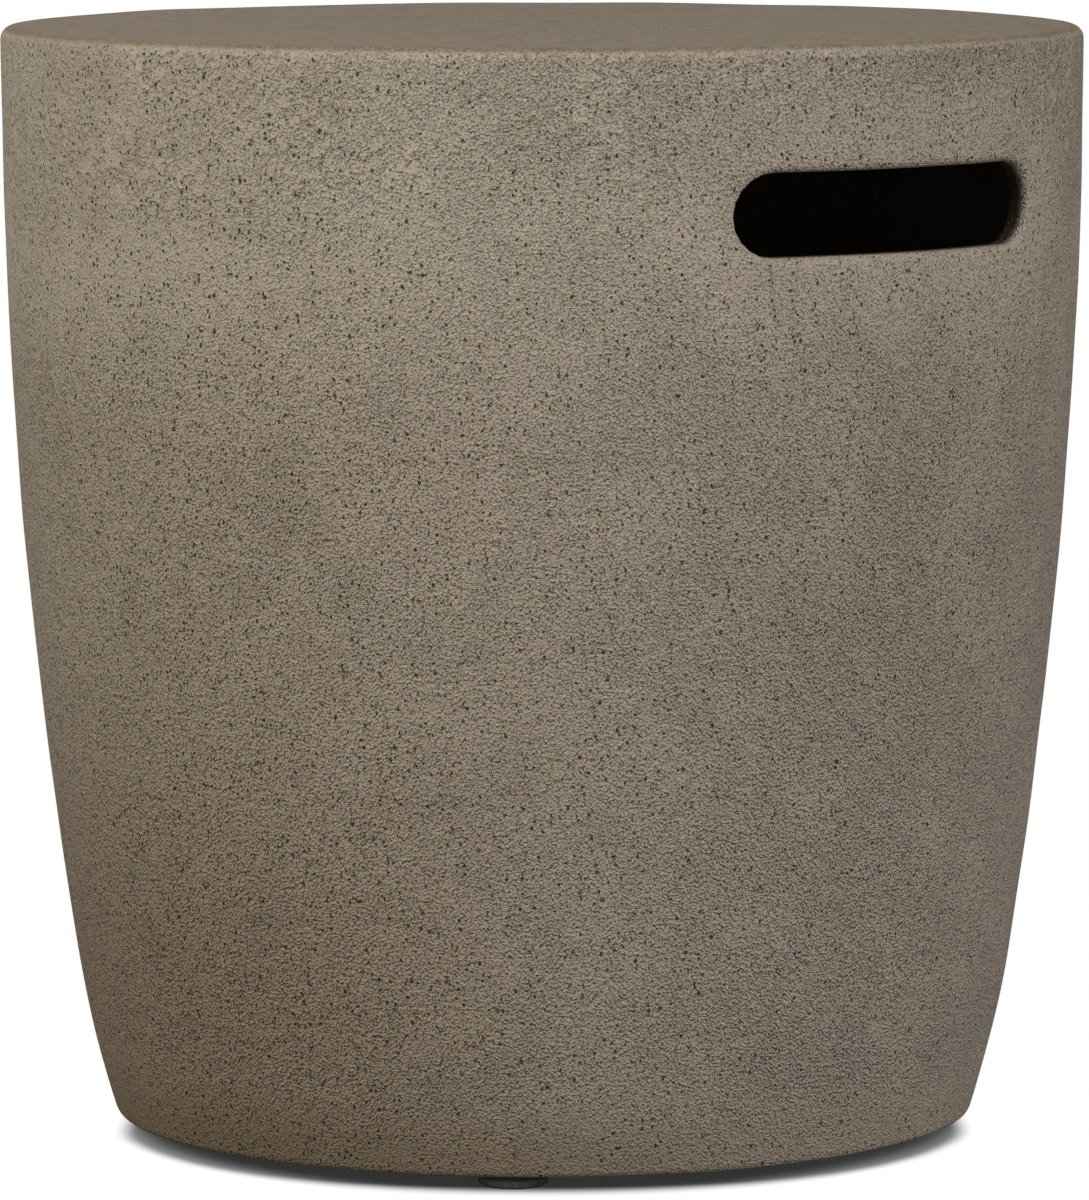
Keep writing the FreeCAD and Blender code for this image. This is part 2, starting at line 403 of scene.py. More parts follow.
def grow_boss(piece, number):
    """Pulls one block of the inner wall inwards, flat below and sloped above, to carry a foot."""
    outward, sideways = boss_axes(number)

    def in_block(face):
        middle = face.calc_center_median()
        turn = math.atan2(middle.xy.dot(sideways), middle.xy.dot(outward))
        return (abs(turn) < boss_half_turn and boss_level < middle.z < boss_top
                and middle.xy.length < wall_radius(middle.z, wall / 2))

    pick(piece, "faces", in_block)
    bpy.ops.mesh.extrude_region_move()

    def pulled(corner):
        if not corner.select:
            return None
        turn = math.atan2(corner.co.xy.dot(sideways), corner.co.xy.dot(outward))
        across = boss_half_width * turn / boss_half_turn
        reach = min(boss_depth(corner.co.z), corner.co.xy.dot(outward) - 0.0008)
        flat = outward * reach + sideways * across
        return Vector((flat.x, flat.y, corner.co.z))

    place(piece, pulled)
    pick(piece, "edges", lambda edge: all(
        abs(abs(corner.co.xy.dot(sideways)) - boss_half_width) < 1e-6
        and corner.co.xy.dot(outward) > 0.1 and corner.co.z < boss_top + 0.001
        for corner in edge.verts) and abs(edge.verts[0].co.z - edge.verts[1].co.z) > 0.001)
    bpy.ops.mesh.bevel(offset=boss_corner_round, segments=4, affect="EDGES", clamp_overlap=True)


def drill_insert_pockets(piece):
    """Sinks a stepped round pocket for the brass insert into each boss."""
    flange_pocket = flange_radius + pocket_clearance
    sleeve_pocket = sleeve_radius + pocket_clearance
    step_level = boss_level + flange_height + pocket_clearance
    end_level = boss_level + insert_length + 2 * pocket_clearance
    rings = [(flange_pocket, boss_level - 0.002), (flange_pocket, step_level),
             (sleeve_pocket, step_level), (sleeve_pocket, end_level)]
    for number in range(4):
        outward, _ = boss_axes(number)
        cutter = turned_piece("pocket", rings, 32)
        open_piece(cutter)
        pick(cutter, "verts", lambda corner: True)
        bpy.ops.transform.translate(value=(*(outward * foot_circle), 0))
        close_piece()
        apply_modifier(piece, "BOOLEAN", operation="DIFFERENCE", solver="EXACT", object=cutter)
        bpy.data.objects.remove(cutter)


# The casting's pores

# Half width and depth in metres, how many, and the seed of their places
pore_kinds = [(0.00095, 0.0010, 90, 11), (0.0013, 0.0014, 40, 12), (0.0018, 0.0017, 12, 13)]
lowest_pore = 0.055
highest_pore = 0.505


def wall_spots(piece, wanted, seed):
    """Corners of the outer wall for larger pores, gathered into loose groups."""
    chance = random.Random(seed)
    spots = []
    corners_of_wall = [vertex.co.copy() for vertex in piece.data.vertices]
    chance.shuffle(corners_of_wall)
    for spot in corners_of_wall:
        on_wall = (abs(spot.xy.length - wall_radius(spot.z)) < 1e-5
                   and lowest_pore < spot.z < highest_pore)
        near_hole = abs(spot.z - hole_level) < 0.045 and abs(spot.y) < 0.12
        crowd = noise.noise(spot * 9 + Vector((3.1, 0.4, 7.7)))
        if on_wall and not near_hole and crowd > chance.uniform(-0.25, 0.45):
            spots.append(spot)
        if len(spots) == wanted:
            break
    return {tuple(round(value, 5) for value in spot) for spot in spots}


def open_pores(piece):
    """Turns some mesh corners of the outer wall into round pores of three sizes."""
    groups = [(half_width, depth, wall_spots(piece, wanted, seed))
              for half_width, depth, wanted, seed in pore_kinds]
    open_piece(piece)
    for half_width, depth, spots in groups:
        pick(piece, "verts", lambda corner: tuple(round(value, 5) for value in corner.co) in spots)
        bpy.ops.mesh.bevel(offset=half_width, segments=2, affect="VERTICES")
        bpy.ops.mesh.inset(thickness=half_width * 0.2, depth=-depth, use_individual=True)
    close_piece()


def roughen(piece):
    """Gives the casting the slow unevenness of a hand-laid mould."""
    bumps = bpy.data.textures.new("mould unevenness", "CLOUDS")
    bumps.noise_scale = 0.09
    bumps.noise_depth = 1
    apply_modifier(piece, "DISPLACE", texture=bumps, texture_coords="LOCAL", strength=0.0012,
                   mid_level=0.5)


def make_casting():
    """The one-piece casting: top, wall, holes, notch and bosses, with pores and lips."""
    close_piece()
    rings = casting_rings()
    bpy.ops.mesh.primitive_circle_add(vertices=columns, radius=rings[0][0],
                                      location=(0, 0, rings[0][1]))
    piece = named("table_casting")
    open_piece(piece)
    pick(piece, "edges", lambda edge: True)
    pull_rings(piece, rings)
    for height in (table_level, table_level - slab):
        pick(piece, "edges", lambda edge: edge.is_boundary
             and abs(edge.verts[0].co.z - height) < 1e-5)
        bpy.ops.mesh.fill_grid(span=columns // 4)
    pick(piece, "verts", lambda corner: True)
    bpy.ops.mesh.normals_make_consistent(inside=False)
    for facing in (0, 180):
        cut_hand_hole(piece, facing)
    cut_notch(piece)
    for number in range(4):
        grow_boss(piece, number)
    close_piece()
    open_pores(piece)
    roughen(piece)
    drill_insert_pockets(piece)
    smooth(piece, 35)
    return piece


casting = make_casting()
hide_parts("cover_shell")
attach(casting, "shell")


# Finishes

class Value:
    """A number or colour that changes over a surface, with sums written as plain expressions."""

    def __init__(self, finish, socket):
        self.finish = finish
        self.socket = socket

    def __add__(self, other):
        return self.finish.sum("ADD", self, other)

    def __radd__(self, other):
        return self.finish.sum("ADD", other, self)

    def __sub__(self, other):
        return self.finish.sum("SUBTRACT", self, other)

    def __rsub__(self, other):
        return self.finish.sum("SUBTRACT", other, self)

    def __mul__(self, other):
        return self.finish.sum("MULTIPLY", self, other)

    def __rmul__(self, other):
        return self.finish.sum("MULTIPLY", other, self)

    def __truediv__(self, other):
        return self.finish.sum("DIVIDE", self, other)

    def __pow__(self, other):
        return self.finish.sum("POWER", self, other)


class Finish:
    """A material, or the surround, and the nodes that it is made of."""

    def __init__(self, name, holder=None):
        self.holder = holder or bpy.data.materials.new(name)
        self.holder.use_nodes = True
        self.tree = self.holder.node_tree
        self.tree.nodes.clear()

    def node(self, kind, settings=None, inputs=None, output=0):
        """Adds a node, sets it up, feeds its sockets, and gives one of its outputs."""
        node = self.tree.nodes.new(kind)
        for setting, value in (settings or {}).items():
            setattr(node, setting, value)
        for socket, value in (inputs or {}).items():
            if isinstance(value, Value):
                self.tree.links.new(value.socket, node.inputs[socket])
            else:
                node.inputs[socket].default_value = value
        return Value(self, node.outputs[output]) if node.outputs else None

    def sum(self, operation, *terms):
        """One Math node on these numbers."""
        return self.node("ShaderNodeMath", {"operation": operation}, dict(enumerate(terms)))

    def place(self):
        """The place on the piece, in metres."""
        return self.node("ShaderNodeTexCoord", output="Object")

    def scaled(self, vector, *factors):
        """A place stretched along each axis."""
        return self.node("ShaderNodeVectorMath", {"operation": "MULTIPLY"}, {0: vector, 1: factors})

    def shifted(self, vector, *distances):
        """A place moved along each axis."""
        return self.node("ShaderNodeVectorMath", {"operation": "ADD"}, {0: vector, 1: distances})

    def along(self, vector, direction):
        """How far a place lies along a direction, in metres."""
        return self.node("ShaderNodeVectorMath", {"operation": "DOT_PRODUCT"},
                         {0: vector, 1: direction}, "Value")

    def clouds(self, vector, size, detail=2.0, roughness=0.5):
        """Soft noise from 0 to 1 with features of this size, in metres."""
        return self.node("ShaderNodeTexNoise", {}, {
            "Vector": vector, "Scale": 1 / size, "Detail": detail, "Roughness": roughness})

    def cells(self, vector, size):
        """Scattered points this far apart: the distance to the nearest, in cell widths, and its luck."""
        distance = self.node("ShaderNodeTexVoronoi", {}, {"Vector": vector, "Scale": 1 / size})
        shade = Value(self, distance.socket.node.outputs["Color"])
        return distance, self.parts(shade)

    def between(self, value, low, high):
        """A smooth step of a value from 0 at low to 1 at high."""
        return self.node("ShaderNodeMapRange", {"interpolation_type": "SMOOTHSTEP"},
                         {"Value": value, "From Min": low, "From Max": high})

    def mix(self, share, first, second):
        """A colour between two, by share."""
        return self.node("ShaderNodeMix", {"data_type": "RGBA"},
                         {0: share, 6: first, 7: second}, 2)

    def tinted(self, colour, tint, share=1.0):
        """A colour multiplied by another."""
        return self.node("ShaderNodeMix", {"data_type": "RGBA", "blend_type": "MULTIPLY"},
                         {0: share, 6: colour, 7: tint}, 2)

    def gray(self, value):
        """A number as a grey colour."""
        return self.node("ShaderNodeCombineColor", {}, {0: value, 1: value, 2: value})

    def parts(self, vector):
        """The x, y and z of a vector, or the red, green and blue of a colour."""
        node = self.tree.nodes.new("ShaderNodeSeparateXYZ")
        self.tree.links.new(vector.socket, node.inputs[0])
        return [Value(self, output) for output in node.outputs]

    def bump(self, height):
        """A normal bent by a height in metres."""
        return self.node("ShaderNodeBump", {}, {"Height": height, "Distance": 1.0, "Strength": 1.0})

    def surface(self, **sockets):
        """Ends the finish with one plain shader; socket names are written with underscores."""
        shader = self.node("ShaderNodeBsdfPrincipled", {}, {
            name.replace("_", " "): value for name, value in sockets.items()})
        self.node("ShaderNodeOutputMaterial", {}, {"Surface": shader})
        return self.holder


def colour(red, green, blue):
    """A linear colour from the usual 0 to 255 values."""
    def linear(level):
        level /= 255
        return level / 12.92 if level <= 0.04045 else ((level + 0.055) / 1.055) ** 2.4
    return (linear(red), linear(green), linear(blue), 1.0)


# Sizes of the features of the cast face, in metres
sand_size = 0.00072
grain_size = 0.00106
stroke_size = 0.0024
lump_size = 0.0046
film_size = 0.0056
trowel_size = 0.0085
mottle_size = 0.022
crowd_size = 0.045
torn_size = 0.050
drift_size = 0.16
pore_spacing = 0.0026
pore_group_size = 0.016
blister_spacing = 0.0200


def cast_concrete():
    """The outer face: sand-textured concrete, pitted, with a torn skin near the top, smoother on top."""
    finish = Finish("cast concrete")
    spot = finish.place()
    x, y, z = finish.parts(spot)
    across = finish.along(spot, to_the_right)

    # Zones: the top and its edge, the rim, the left side, round the hand holes, and calmer parts
    on_top = finish.between(z, table_level - 0.0034, table_level - 0.0008)
    at_edge = finish.between(z, table_level - 0.0042, table_level - 0.0016)
    near_rim = finish.between(z, 0.060, 0.012)
    left_side = finish.between(across, 0.12, -0.20)
    far_left = finish.between(across, 0.03, -0.21)
    low_left = finish.between(left_side, 0.2, 0.9) * finish.between(z, 0.26, 0.08)
    beyond = finish.sum("MAXIMUM", finish.sum("ABSOLUTE", y) - hole_straight, 0.0)
    rise = z - hole_level
    from_hole = (beyond * beyond + rise * rise) ** 0.5 - hole_end_radius
    round_hole = finish.between(from_hole, 0.060, 0.010)
    round_hole = round_hole * finish.between(finish.sum("ABSOLUTE", x), 0.10, 0.16)
    calm = finish.between(z, 0.34, 0.44) * (0.14 + 0.86 * far_left)
    calm = finish.sum("MAXIMUM", calm, 0.40 * low_left)

    # Patterns, each read from another place so that no two of them line up
    drift = finish.clouds(finish.shifted(spot, 4.0, 1.0, 2.0), drift_size, 2.0)
    mottle = finish.clouds(finish.shifted(spot, 1.0, 6.0, 3.0), mottle_size, 3.0, 0.62)
    crowd = finish.clouds(finish.shifted(spot, 7.0, 2.0, 5.0), crowd_size, 2.0) + 0.20 * left_side
    crowd = finish.between(crowd + 0.16 * round_hole, 0.42, 0.66)
    tall = finish.scaled(spot, 1.0, 1.0, 0.76)
    taller_cells = finish.scaled(spot, 1.0, 1.0, 0.8)
    sand = finish.clouds(tall, sand_size, 0.5, 0.6) - 0.5
    grain = finish.clouds(finish.shifted(tall, 2.0, 0.0, 0.0), grain_size, 0.6, 0.5) - 0.5
    stroke = finish.clouds(finish.scaled(spot, 1.0, 1.0, 1.8), stroke_size, 1.0, 0.5) - 0.5
    lumps = finish.clouds(finish.shifted(spot, 0.0, 3.0, 0.0), lump_size, 1.0, 0.5) - 0.5
    trowelled = finish.clouds(finish.shifted(spot, 3.0, 3.0, 0.0), trowel_size, 3.0, 0.75)
    pore_group = finish.clouds(finish.shifted(spot, 8.0, 8.0, 0.0), pore_group_size, 1.0) - 0.5

    # Pits between the grains, short level dashes near the top, and rounder pores
    plain = (1 - 0.70 * at_edge) * (1 - 0.48 * near_rim) * (1 - 0.25 * round_hole)
    pits = finish.between(grain + 0.04 * lumps - 0.03 * crowd, -0.152, -0.206)
    pits = pits * plain * (1 - 0.75 * calm)
    upper = finish.between(z + 0.10 * (drift - 0.5), 0.425, 0.462)
    upper = upper * (1 - 0.80 * at_edge) * (1 - 0.60 * round_hole)
    dashes = finish.between(stroke, -0.140, -0.185) * upper * (1 - 0.6 * calm)
    pore_gap, pore_luck = finish.cells(taller_cells, pore_spacing)
    pore_size = 0.21 + 0.19 * pore_luck[1] * pore_luck[2] + 0.02 * calm
    pores = finish.between(pore_gap + 0.4 * sand, pore_size, 0.60 * pore_size)
    rarity = pore_luck[0] - 0.34 * crowd - calm * (0.02 + 0.9 * pore_group) - 0.20 * low_left
    pores = pores * finish.between(rarity, 0.27, 0.20) * (1 - 0.85 * at_edge)

    # The torn skin and its blisters, with a painted shade line under each lower edge
    def skin_at(lift):
        film = finish.clouds(finish.shifted(spot, 5.0, 0.0, lift), film_size, 2.0, 0.5)
        return finish.between(film, 0.50, 0.62)

    torn = finish.clouds(finish.shifted(spot, 0.0, 0.0, 9.0), torn_size, 2.0)
    torn = finish.between(torn, 0.42, 0.56) * upper
    skin = skin_at(0.0) * torn
    open_skin = 1 - 0.6 * skin
    # A dark line just under each lower edge of the skin: painted shade
    shade_under_skin_edge = finish.between(skin_at(0.0007) - skin_at(0.0) + 1.4 * grain, 0.32, 0.72) * torn
    blister_gap, blister_luck = finish.cells(taller_cells, blister_spacing)
    blister_size = 0.09 + 0.10 * blister_luck[1]
    blisters = finish.between(blister_gap, blister_size, 0.35 * blister_size)
    blisters = blisters * finish.between(blister_luck[0], 0.26, 0.22)
    blisters = blisters * finish.between(z, 0.30, 0.40) * (1 - at_edge)

    # The relief, in metres
    rough = plain * (1 - 0.50 * skin) * (1 + 0.25 * upper + 0.30 * low_left)
    rough = rough * (1 - 0.30 * crowd) * (1 - 0.36 * calm)
    height = (0.00230 * sand + 0.00290 * grain + 0.00050 * lumps) * rough + 0.00100 * lumps * upper
    height = height + 0.00050 * skin + 0.00150 * blisters
    height = height - (0.00110 * pits + 0.00120 * dashes + 0.00150 * pores) * open_skin

    # The colour: cooler and paler on the right, paler near the top on the left, browner and darker towards
    # the bottom and at the rim
    brown = colour(126, 109, 87)
    side = finish.between(across + 0.16 * drift, -0.16, 0.28)
    base = finish.mix(side, colour(148, 135, 115), colour(155, 143, 129))
    mottled = (0.38 - 0.30 * side) * finish.between(mottle * 0.5 + drift * 0.5, 0.48, 0.64)
    base = finish.mix(mottled, base, brown)
    # Paler near the top, most on the left
    paler_near_top = finish.between(z, 0.33, 0.45) * (0.46 - 0.46 * side - 0.22 * calm * far_left)
    base = finish.mix(paler_near_top, base, colour(175, 167, 150))
    # Browner and darker towards the bottom, most on the left
    browner_towards_bottom = finish.between(z, 0.30, 0.03) * (0.48 + 0.36 * left_side - 0.44 * side)
    base = finish.mix(browner_towards_bottom, base, brown)
    low_right = finish.between(z, 0.30, 0.10) * 0.42 * side * side
    base = finish.mix(low_right, base, colour(170, 158, 143))
    dark_rim = finish.between(z, 0.050, 0.014) * (0.62 - 0.48 * side * side)
    base = finish.mix(dark_rim, base, colour(96, 81, 59))
    # The top: trowelled streaks on a darker tone, which is painted shade
    top = finish.mix(finish.between(trowelled, 0.24, 0.78), colour(108, 95, 76), colour(126, 113, 95))
    base = finish.mix(on_top, base, top)

    # Darker and lighter grains, painted shade in the hollows and under the skin's lower edges, and painted
    # shade on the face inside the hand holes
    speckle = 1.0 + (0.8 * sand + 0.3 * grain) * rough + 0.9 * (grain + sand) * on_top
    base = finish.tinted(base, finish.gray(speckle))
    # Pits, dashes, pores and the skin's lower edges are darkened in the colour: painted shade in the
    # hollows
    hollow_painted_shade = ((0.33 + 0.30 * low_left) * pits + 0.40 * dashes + 0.95 * pores) * open_skin
    hollow_painted_shade = finish.sum("MINIMUM", hollow_painted_shade + 0.30 * shade_under_skin_edge, 1.0)
    base = finish.tinted(base, (0.17, 0.14, 0.11, 1), hollow_painted_shade)
    # Inside the hand holes the colour falls to about a ninth of the wall's: painted shade
    hole_painted_shade = finish.between((x * x + y * y) ** 0.5, wall_radius(hole_level, 0.0025),
                             wall_radius(hole_level, 0.0065))
    hole_painted_shade = hole_painted_shade * finish.between(from_hole, 0.010, 0.002)
    base = finish.tinted(base, (0.14, 0.115, 0.09, 1), hole_painted_shade)
    return finish.surface(Base_Color=base, Roughness=0.93, Specular_IOR_Level=0.15,
                          Normal=finish.bump(height))


def sprayed_concrete():
    """The inner face: sprayed, lumpy and unsmoothed, with pale glass fibres showing."""
    finish = Finish("sprayed concrete")
    spot = finish.place()
    lumps = finish.clouds(spot, 0.012, 2.0, 0.6)
    grit = finish.clouds(finish.shifted(spot, 1.0, 0.0, 0.0), 0.0022, 2.0, 0.6)
    drift = finish.clouds(finish.shifted(spot, 0.0, 4.0, 0.0), 0.10, 2.0)

    def strands(turned_spot):
        bend = finish.clouds(turned_spot, 0.014, 0.5, 0.4)
        length = finish.clouds(finish.shifted(turned_spot, 6.0, 0.0, 0.0), 0.010, 1.0)
        line = finish.between(finish.sum("ABSOLUTE", bend - 0.5), 0.006, 0.002)
        return line * finish.between(length, 0.56, 0.62)

    fibres = finish.sum("MAXIMUM", strands(spot), strands(finish.shifted(spot, 0.0, 0.0, 8.0)))
    height = 0.0030 * lumps + 0.0009 * grit + 0.0003 * fibres
    base = finish.mix(finish.between(drift, 0.4, 0.65), colour(132, 122, 106), colour(116, 103, 86))
    base = finish.tinted(base, finish.gray(0.55 + 0.90 * grit))
    base = finish.mix(0.55 * fibres, base, colour(186, 178, 160))
    return finish.surface(Base_Color=base, Roughness=0.95, Specular_IOR_Level=0.15,
                          Normal=finish.bump(height))


def is_sprayed(face):
    """Whether a face of the casting is on its inner side, and not in or round a hand hole."""
    middle = face.center
    reach = hole_end_radius + 0.006
    is_inside = (middle.xy.length < wall_radius(middle.z, 0.75 * wall)
                 and middle.z < table_level - 0.9 * slab)
    is_in_hole = (abs(middle.z - hole_level) < reach and abs(middle.x) > 0.15
                  and abs(middle.y) < hole_straight + reach)
    return is_inside and not is_in_hole


casting.data.materials.clear()
casting.data.materials.append(cast_concrete())
casting.data.materials.append(sprayed_concrete())
for face in casting.data.polygons:
    if is_sprayed(face):
        face.material_index = 1


# The screw feet, each part modelled once on the Z axis and copied to the four bosses

def make_insert():
    """The brass insert: a flanged sleeve with a blind bore and three keying grooves."""
    bore_radius = 0.00405
    groove_radius = 0.0052
    bevel = 0.0005
    edge = 0.0003
    flange_top = boss_level + flange_height
    top = boss_level + insert_length
    rings = [(bore_radius, top - 0.0020), (bore_radius, boss_level + bevel),
             (bore_radius + bevel, boss_level), (flange_radius - edge, boss_level),
             (flange_radius, boss_level + edge), (flange_radius, flange_top - edge),
             (flange_radius - edge, flange_top), (sleeve_radius, flange_top)]
    for height in (0.0160, 0.0235, 0.0310):
        rings += [(sleeve_radius, height), (groove_radius, height + 0.0001),
                  (groove_radius, height + 0.0024), (sleeve_radius, height + 0.0025)]
    rings += [(sleeve_radius, top - bevel), (sleeve_radius - bevel, top)]
    return turned_piece("insert", rings, 40)


def make_thread(lowest, highest):
    """The M8 thread: one turn of its outline screwed upwards, cut flat and tapered at its tip."""
    core_radius = 0.00338
    start = lowest - 2 * thread_pitch
    # Outward and upward steps along the outline, which rise by one pitch in all
    steps = [(0.0006, 0.00036), (0.0, 0.00020), (-0.0006, 0.00036), (0.0, 0.00033)]
    close_piece()
    bpy.ops.mesh.primitive_plane_add(size=0.001, location=(core_radius, 0, start))
    thread = named("thread")
    open_piece(thread)
    pick(thread, "verts", lambda corner: True)
    bpy.ops.mesh.merge(type="CENTER")
    for outward, upward in steps:
        pick(thread, "verts", lambda corner: not corner.link_edges or (
            len(corner.link_edges) == 1 and corner.co.z > start + 1e-5))
        bpy.ops.mesh.extrude_region_move(TRANSFORM_OT_translate={"value": (outward, 0, upward)})
    turns = math.ceil((highest - lowest) / thread_pitch) + 4
    apply_modifier(thread, "SCREW", axis="Z", screw_offset=thread_pitch, steps=28, render_steps=28,
                   iterations=turns, use_merge_vertices=False)
    open_piece(thread)
    pick(thread, "verts", lambda corner: True)
    bpy.ops.mesh.remove_doubles(threshold=0.00001)
    for height, side in ((lowest, -1), (highest, 1)):
        pick(thread, "verts", lambda corner: True)
        bpy.ops.mesh.bisect(plane_co=(0, 0, height), plane_no=(0, 0, side), use_fill=True,
                            clear_outer=True)

    def tapered(corner):
        widest = thread_radius - max(0.0, corner.co.z - (highest - 0.0010))
        share = min(widest / corner.co.xy.length, 1.0)
        return Vector((corner.co.x * share, corner.co.y * share, corner.co.z))

    place(thread, tapered)
    pick(thread, "verts", lambda corner: True)
    bpy.ops.mesh.normals_make_consistent(inside=False)
    close_piece()
    return thread


def make_stud():
    """The steel stud: threaded shank, six-sided collar, neck and riveted end."""
    collar_radius = 0.0075056
    collar_height = 0.0040

    def height_of(edge):
        return abs(edge.verts[0].co.z - edge.verts[1].co.z)

    thread = make_thread(lowest=0.0118, highest=0.0320)
    bpy.ops.mesh.primitive_cylinder_add(vertices=6, radius=collar_radius, depth=collar_height,
                                        location=(0, 0, 0.0100), rotation=(0, 0, math.radians(30)))
    collar = named("collar")
    open_piece(collar)
    pick(collar, "edges", lambda edge: height_of(edge) < 1e-6)
    bpy.ops.mesh.bevel(offset=0.00035, segments=2)
    pick(collar, "edges", lambda edge: height_of(edge) > collar_height / 2)
    bpy.ops.mesh.bevel(offset=0.00025, segments=2)
    neck = turned_piece("neck", [(0.0035, 0.0082), (0.0035, 0.0047), (0.0052, 0.0047), (0.0055, 0.0044),
                                 (0.0055, 0.0034), (0.0052, 0.0031)], 40)
    for part in (neck, collar, thread):
        part.select_set(True)
    bpy.context.view_layer.objects.active = thread
    bpy.ops.object.join()
    return thread


def make_glide():
    """The nylon glide: a cone-backed disc with a sunk ring on top and grip notches round its edge."""
    rings = [(0.00355, 0.0078), (0.00375, 0.0080), (0.0078, 0.0080), (0.0080, 0.0077), (0.0086, 0.0077),
             (0.0088, 0.0080), (0.0104, 0.0080), (0.0110, 0.00788), (0.0114, 0.0076), (0.0155, 0.0044),
             (0.0159, 0.0040), (0.0160, 0.0036), (0.0160, 0.0014), (0.0159, 0.00115), (0.0157, 0.0010),
             (0.0141, 0.0010), (0.0141, 0.0025), (0.0061, 0.0025), (0.0061, 0.0050), (0.00355, 0.0050),
             (0.00355, 0.0078)]
    segments = 72
    glide = turned_piece("glide", rings, segments)

    def is_notch(face):
        middle = face.calc_center_median()
        segment = round(math.degrees(math.atan2(middle.y, middle.x)) / (360 / segments) - 0.5)
        return middle.xy.length > 0.0159 and 0.0020 < middle.z < 0.0030 and segment % 3 == 0

    open_piece(glide)
    pick(glide, "faces", is_notch)
    bpy.ops.mesh.inset(thickness=0.00025, depth=-0.0004, use_individual=True)
    close_piece()
    return glide


def make_sole():
    """The rubber sole: a round-edged disc with three ring grooves underneath."""
    rings = [(0.0140, 0.0025), (0.0140, 0.0006), (0.0139, 0.0003), (0.0136, 0.00005), (0.0133, 0.0)]
    for radius in (0.0119, 0.0085, 0.0051):
        rings += [(radius, 0.0), (radius - 0.0002, 0.0004), (radius - 0.0010, 0.0004),
                  (radius - 0.0012, 0.0)]
    return turned_piece("sole", rings, 56)


def machined_metal(name, clean, dulled, roughness):
    """Turned metal with fine tool lines, dulled in patches."""
    finish = Finish(name)
    spot = finish.place()
    patches = finish.clouds(spot, 0.0055, 3.0, 0.6)
    lines = finish.clouds(finish.scaled(spot, 0.5, 0.5, 9.0), 0.0016, 2.0)
    base = finish.mix(finish.between(patches, 0.38, 0.66), clean, dulled)
    return finish.surface(Base_Color=base, Roughness=roughness + 0.28 * patches, Metallic=1.0,
                          Normal=finish.bump(0.00003 * lines))


def moulded_plastic(name, clean, worn, roughness, grain_depth):
    """A moulded part with a fine mould grain, worn or dusty in patches."""
    finish = Finish(name)
    spot = finish.place()
    patches = finish.clouds(spot, 0.0070, 3.0, 0.65)
    grain = finish.clouds(finish.shifted(spot, 2.0, 0.0, 0.0), 0.00045, 1.0)
    base = finish.mix(0.5 * finish.between(patches, 0.46, 0.72), clean, worn)
    return finish.surface(Base_Color=base, Roughness=roughness + 0.20 * patches,
                          Normal=finish.bump(grain_depth * grain))


def fit_four(model, kind, body, material):
    """Copies one modelled part to the four bosses, in place of the solids."""
    model.data.materials.append(material)
    smooth(model, 35)
    for number, corner in enumerate(corners):
        close_piece()
        model.select_set(True)
        bpy.context.view_layer.objects.active = model
        bpy.ops.object.duplicate(linked=False)
        piece = bpy.context.object
        outward, _ = boss_axes(number)
        piece.location = (*(outward * foot_circle), 0)
        piece.rotation_euler.z = math.atan2(outward.y, outward.x)
        bpy.ops.object.transform_apply(location=True, rotation=True, scale=True)
        piece.name = "%s_piece_%s" % (kind, corner)
        piece.data.name = piece.name
        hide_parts("%s_%s" % (kind, corner))
        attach(piece, body if body == "shell" else "%s_%s" % (body, corner))
    bpy.data.objects.remove(model)


fit_four(make_insert(), "insert", "shell", machined_metal(
    "machined brass", (0.62, 0.43, 0.17, 1), (0.36, 0.26, 0.13, 1), 0.26))
fit_four(make_stud(), "stud", "screw", machined_metal(
    "zinc plated steel", (0.60, 0.61, 0.63, 1), (0.42, 0.42, 0.41, 1), 0.20))
fit_four(make_glide(), "glide", "foot", moulded_plastic(
    "grey nylon", (0.190, 0.186, 0.178, 1), (0.130, 0.122, 0.108, 1), 0.45, 0.00002))
fit_four(make_sole(), "sole", "foot", moulded_plastic(
    "black rubber", (0.012, 0.012, 0.012, 1), (0.045, 0.042, 0.038, 1), 0.70, 0.00004))


# The studio

def studio_floor():
    """A white floor that keeps the lamps' shadow under the rim, within a painted fade, and reads as plain
    white further out.
    """
    shadow_from = 0.1915
    shadow_to = 0.2035
    # A faint glow is kept inside the shadow too: painted light that lifts it to grey
    painted_light_in_shadow = 0.0285
    close_piece()
    bpy.ops.mesh.primitive_plane_add(size=40.0, location=(0, 0, 0))
    floor = named("studio_floor")
    finish = Finish("white floor")
    spot = finish.place()
    x, y, _ = finish.parts(spot)
    away = (x * x + y * y) ** 0.5
    seen = finish.node("ShaderNodeLightPath", output="Is Camera Ray")
    mirrored = finish.node("ShaderNodeLightPath", output="Is Glossy Ray")
    mirrored = mirrored + finish.node("ShaderNodeLightPath", output="Is Transmission Ray")
    paper = finish.node("ShaderNodeBsdfDiffuse", {}, {
        "Color": finish.mix(seen, (0.16, 0.16, 0.16, 1), (0.35, 0.355, 0.365, 1))})
    glow = finish.node("ShaderNodeEmission", {}, {"Color": (1, 1, 1, 1), "Strength": 1.0})
    # Towards the camera the painted shadow edge reaches further out and fades over a wider band
    facing = finish.along(spot, toward_camera) / away
    reach = 0.0055 * finish.between(facing, 0.0, 0.30)
    painted_shadow_edge = shadow_from + reach - 0.017 * finish.sum("MAXIMUM", facing, 0.0) ** 6
    # Painted shadow: the glow fades in over a fixed ring round the rim
    glow_past_painted_shadow = finish.between(away, painted_shadow_edge, shadow_to + reach)
    share = (painted_light_in_shadow + (1 - painted_light_in_shadow) * glow_past_painted_shadow) * (seen + mirrored)
    shader = finish.node("ShaderNodeMixShader", {}, {0: share, 1: paper, 2: glow})
    finish.node("ShaderNodeOutputMaterial", {}, {"Surface": shader})
    floor.data.materials.append(finish.holder)


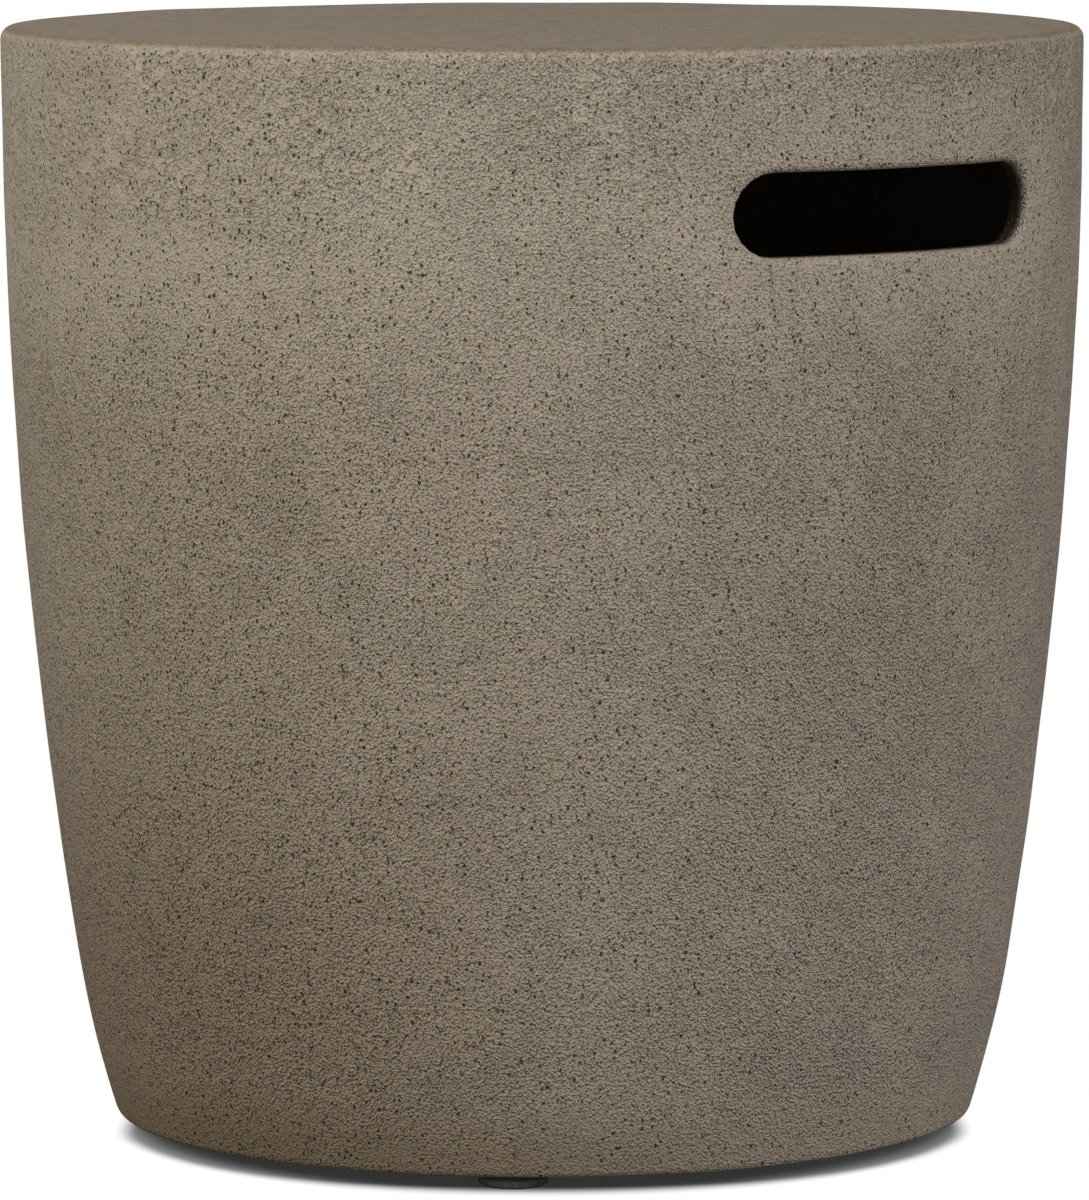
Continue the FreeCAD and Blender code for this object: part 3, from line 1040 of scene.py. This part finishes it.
def studio_world():
    """A plain white surround: full white to the eye and in reflections, softer as light."""
    strength_as_light = 0.32
    surround = Finish("studio surround", bpy.data.worlds.new("studio surround"))
    bpy.context.scene.world = surround.holder
    seen = surround.node("ShaderNodeLightPath", output="Is Camera Ray")
    seen = seen + surround.node("ShaderNodeLightPath", output="Is Glossy Ray")
    seen = seen + surround.node("ShaderNodeLightPath", output="Is Transmission Ray")
    background = surround.node("ShaderNodeBackground", {}, {
        "Color": (1, 1, 1, 1), "Strength": strength_as_light + (1 - strength_as_light) * seen})
    surround.node("ShaderNodeOutputWorld", {}, {"Surface": background})


def soft_light(name, place_at, aim, size, power):
    """A square white soft box at a place, turned to shine at aim; size in metres, power in watts."""
    lamp = bpy.data.lights.new(name, "AREA")
    lamp.shape = "SQUARE"
    lamp.size = size
    lamp.energy = power
    holder = bpy.data.objects.new(name, lamp)
    bpy.context.scene.collection.objects.link(holder)
    holder.location = place_at
    holder.rotation_euler = (Vector(aim) - Vector(place_at)).to_track_quat("-Z", "Y").to_euler()
    holder.visible_camera = False


def studio_camera():
    """The photograph's viewpoint: a long lens a little above the table top."""
    viewpoint = (2.970, -2.528, 0.689)
    downward = math.radians(6.44)
    roll = math.radians(0.08)
    heading = math.radians(49.576)
    lens = bpy.data.cameras.new("photo camera")
    lens.lens = 248.4
    lens.sensor_width = 36.0
    camera = bpy.data.objects.new("photo camera", lens)
    bpy.context.scene.collection.objects.link(camera)
    camera.location = viewpoint
    camera.rotation_euler = (math.pi / 2 - downward, roll, heading)
    bpy.context.scene.camera = camera


studio_floor()
studio_world()
left_place = 1.35 * toward_camera - 1.62 * to_the_right + Vector((0, 0, 1.35))
right_place = 1.55 * toward_camera + 1.42 * to_the_right + Vector((0, 0, 1.30))
rear_place = -1.8 * toward_camera + Vector((0, 0, 0.30))
soft_light("left soft box", left_place, aim=(0, 0, 0.3), size=1.2, power=46.0)
soft_light("right soft box", right_place, aim=(0, 0, 0.3), size=1.2, power=38.0)
soft_light("low rear soft box", rear_place, aim=(0, 0, 0.26), size=0.8, power=30.0)
studio_camera()

bpy.context.scene.view_settings.view_transform = "Standard"
